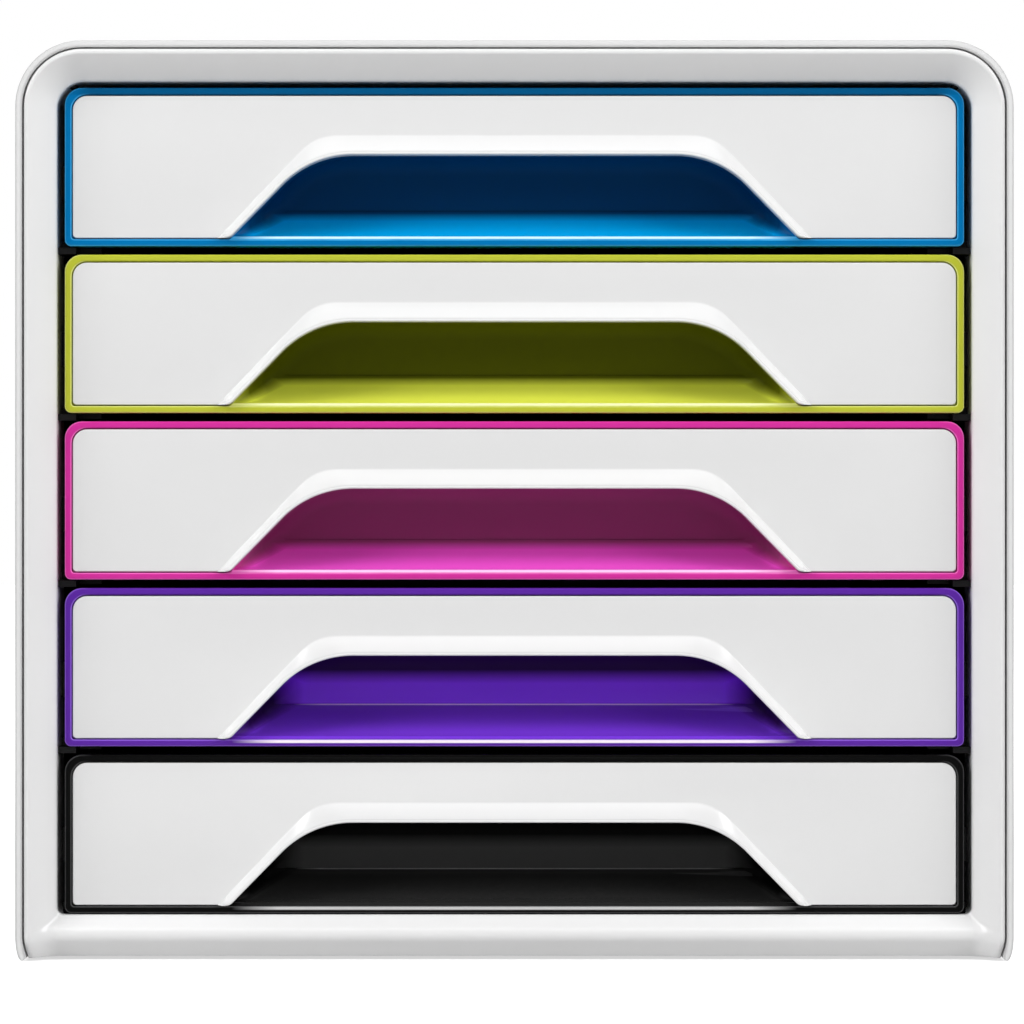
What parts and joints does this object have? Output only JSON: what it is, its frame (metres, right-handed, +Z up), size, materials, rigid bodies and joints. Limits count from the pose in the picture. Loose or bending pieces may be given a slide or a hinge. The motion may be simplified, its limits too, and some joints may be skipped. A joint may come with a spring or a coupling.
{
  "type": "desktop drawer unit",
  "caption": "Desktop drawer unit for papers: a rounded white shell and shallow coloured trays that slide out by scooped finger handles in white fascias.",
  "frame": {"origin": "on the desk, under the middle of the cabinet", "axes": "+X to the right as seen from the front, +Y to the back, +Z up; the drawers open along -Y"},
  "size_m": [0.288, 0.36, 0.266],
  "materials": {
    "shell_white": "smooth white gloss",
    "bezel_white": "smooth white gloss",
    "fascia_white": "smooth white gloss",
    "charcoal_plastic": "fine-grained dark grey",
    "foot_rubber": "matt grey",
    "blue_plastic": "smooth coloured gloss",
    "green_plastic": "smooth coloured gloss",
    "pink_plastic": "smooth coloured gloss",
    "purple_plastic": "smooth coloured gloss",
    "black_plastic": "smooth coloured gloss"
  },
  "bodies": {
    "cabinet": {"outer_shell": "shell_white", "front_bezel": "bezel_white", "base_plate": "charcoal_plastic", "back_panel": "charcoal_plastic", "left_rack": "charcoal_plastic", "right_rack": "charcoal_plastic", "foot_front_left": "foot_rubber", "foot_front_right": "foot_rubber", "foot_rear_left": "foot_rubber", "foot_rear_right": "foot_rubber"},
    "drawer_1": {"tray_1": "blue_plastic", "front_frame_1": "blue_plastic", "fascia_1": "fascia_white"},
    "drawer_2": {"tray_2": "green_plastic", "front_frame_2": "green_plastic", "fascia_2": "fascia_white"},
    "drawer_3": {"tray_3": "pink_plastic", "front_frame_3": "pink_plastic", "fascia_3": "fascia_white"},
    "drawer_4": {"tray_4": "purple_plastic", "front_frame_4": "purple_plastic", "fascia_4": "fascia_white"},
    "drawer_5": {"tray_5": "black_plastic", "front_frame_5": "black_plastic", "fascia_5": "fascia_white"}
  },
  "joints": [
    {"name": "drawer_1_slide", "type": "slide", "parent": "cabinet", "child": "drawer_1", "axis": [0, -1, 0], "range_m": [0, 0.25]},
    {"name": "drawer_2_slide", "type": "slide", "parent": "cabinet", "child": "drawer_2", "axis": [0, -1, 0], "range_m": [0, 0.25]},
    {"name": "drawer_3_slide", "type": "slide", "parent": "cabinet", "child": "drawer_3", "axis": [0, -1, 0], "range_m": [0, 0.25]},
    {"name": "drawer_4_slide", "type": "slide", "parent": "cabinet", "child": "drawer_4", "axis": [0, -1, 0], "range_m": [0, 0.25]},
    {"name": "drawer_5_slide", "type": "slide", "parent": "cabinet", "child": "drawer_5", "axis": [0, -1, 0], "range_m": [0, 0.25]}
  ]
}
